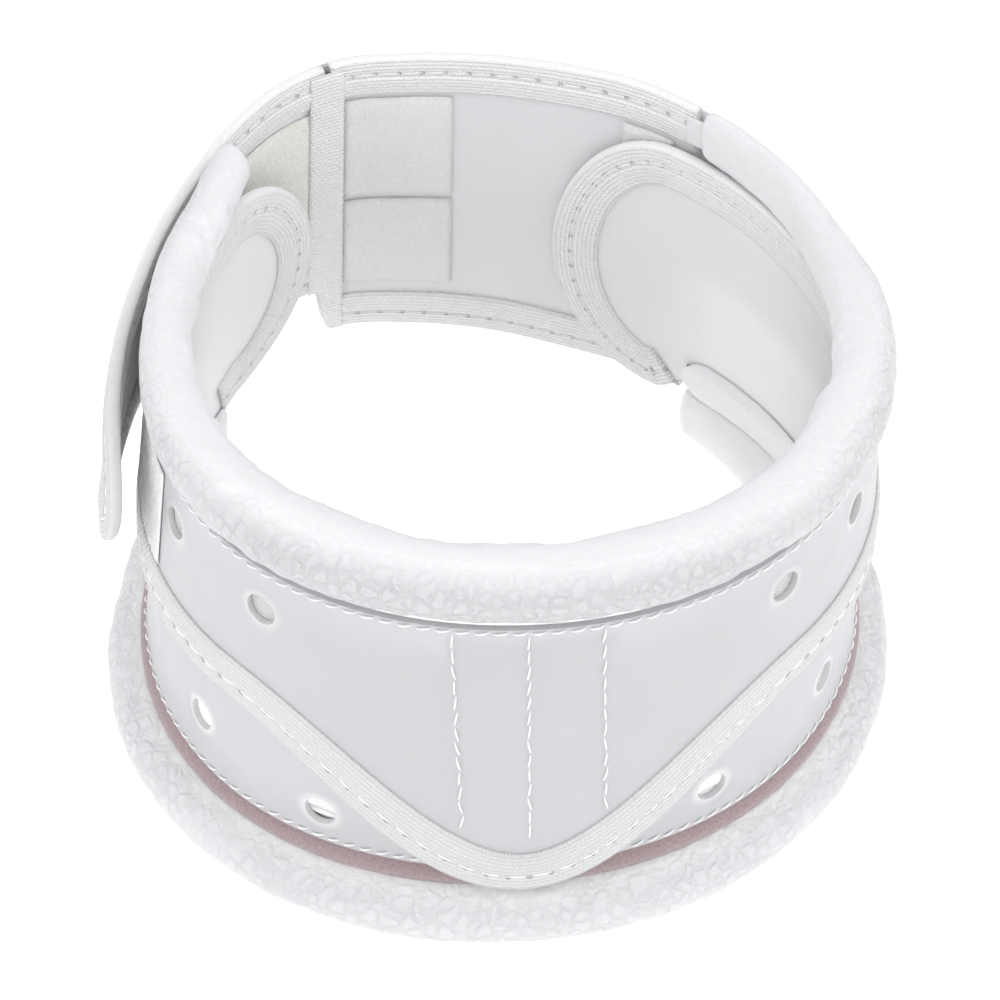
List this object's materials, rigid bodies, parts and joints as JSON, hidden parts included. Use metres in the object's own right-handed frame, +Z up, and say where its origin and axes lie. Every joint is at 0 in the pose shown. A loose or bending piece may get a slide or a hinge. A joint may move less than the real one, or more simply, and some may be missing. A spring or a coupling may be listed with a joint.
{
  "type": "rigid cervical collar",
  "caption": "Rigid height-adjustable cervical collar: overlapping chin and base sheets with padded rolls, woven binding, a rear panel and a wrap-round hook-and-loop tab.",
  "frame": {"origin": "bottom centre of the collar's bounding box, on the plane it stands on", "axes": "+Z up through the neck opening; the front (chin side) faces -Y; +X is the wearer's left"},
  "size_m": [0.1677, 0.173, 0.1054],
  "materials": {
    "lower_sheet": "translucent polyethylene sheet, satin",
    "upper_sheet": "translucent polyethylene sheet, satin",
    "rear_sheet": "translucent polyethylene sheet, satin",
    "tab_sheet": "flexible polyethylene sheet, satin",
    "woven_tape": "ribbed woven polyester binding tape",
    "foam": "soft open-cell foam",
    "upper_vinyl": "soft vinyl with a cracked leather grain",
    "lower_vinyl": "soft vinyl with a fine leather grain",
    "seam_band": "pinkish felted seam band",
    "thread": "twisted polyester thread",
    "loop_textile": "fuzzy loop textile",
    "hook_textile": "moulded hook textile"
  },
  "bodies": {
    "lower": {"lower_panel": "lower_sheet", "lower_panel_binding": "woven_tape", "lower_roll_foam": "foam", "lower_roll_cover": "lower_vinyl", "lower_seam_band": "seam_band", "lower_cover_flap": "lower_vinyl", "lower_edge_stitching": "thread", "height_loop_left": "loop_textile", "height_loop_right": "loop_textile"},
    "upper": {"upper_panel": "upper_sheet", "upper_panel_binding": "woven_tape", "upper_roll_foam": "foam", "upper_roll_cover": "upper_vinyl", "upper_roll_stitching": "thread", "centre_stitching": "thread", "centre_hook_strip": "hook_textile", "height_hook_left": "hook_textile", "height_hook_right": "hook_textile", "closure_loop_patch": "loop_textile"},
    "rear": {"rear_panel": "rear_sheet", "rear_binding_top": "woven_tape", "rear_binding_bottom": "woven_tape", "rear_seam_stitching": "thread", "rear_loop_right_lower": "loop_textile", "rear_loop_right_upper": "loop_textile", "rear_loop_left_lower": "loop_textile", "rear_loop_left_upper": "loop_textile"},
    "closure_tab": {"tab_panel": "tab_sheet", "tab_binding": "woven_tape", "tab_hook_lining": "hook_textile"}
  },
  "joints": [
    {"name": "height_slide", "type": "slide", "parent": "lower", "child": "upper", "axis": [0, 0, 1], "range_m": [0, 0.02]},
    {"name": "rear_seam", "type": "hinge", "parent": "upper", "child": "rear", "pos_m": [0.0478, 0.06048, 0.05], "axis": [0.011, 0.0141, -0.9998], "range_deg": [0, 75]},
    {"name": "tab_root", "type": "hinge", "parent": "rear", "child": "closure_tab", "pos_m": [-0.03456, 0.08194, 0.05], "axis": [-0.0304, 0.0698, -0.9971], "range_deg": [0, 60]}
  ]
}
